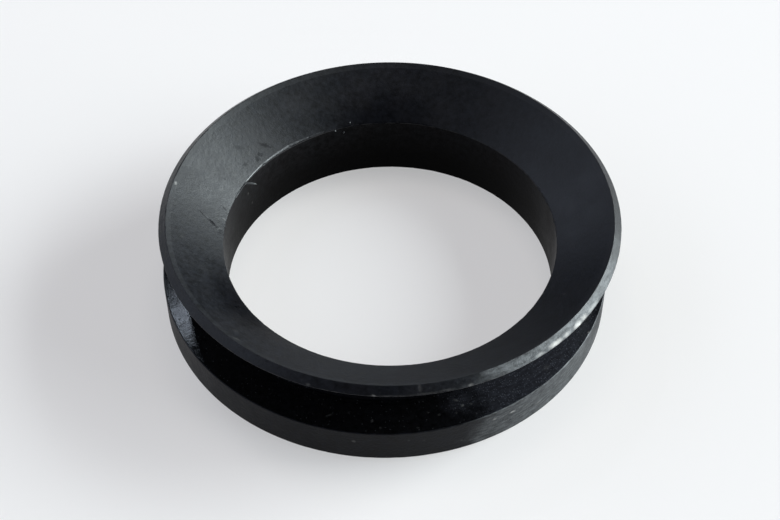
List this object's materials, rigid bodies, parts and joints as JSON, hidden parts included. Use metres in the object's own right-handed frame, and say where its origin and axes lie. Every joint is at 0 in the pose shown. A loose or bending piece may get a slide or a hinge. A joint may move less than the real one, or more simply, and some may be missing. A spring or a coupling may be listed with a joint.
{
  "type": "v-ring seal",
  "caption": "Moulded rubber axial shaft seal with a V-shaped section: a body that grips the shaft and a thin flaring lip that wipes a facing wall.",
  "frame": {"origin": "centre of the bore at the back face, which the ring rests on", "axes": "+Z along the bore axis, from the back face towards the lip; the body's outside is slipped towards -X"},
  "size_m": [0.0301, 0.03, 0.0069],
  "materials": {
    "black_rubber": "matte"
  },
  "bodies": {
    "root": {"v_ring": "black_rubber"}
  },
  "joints": []
}
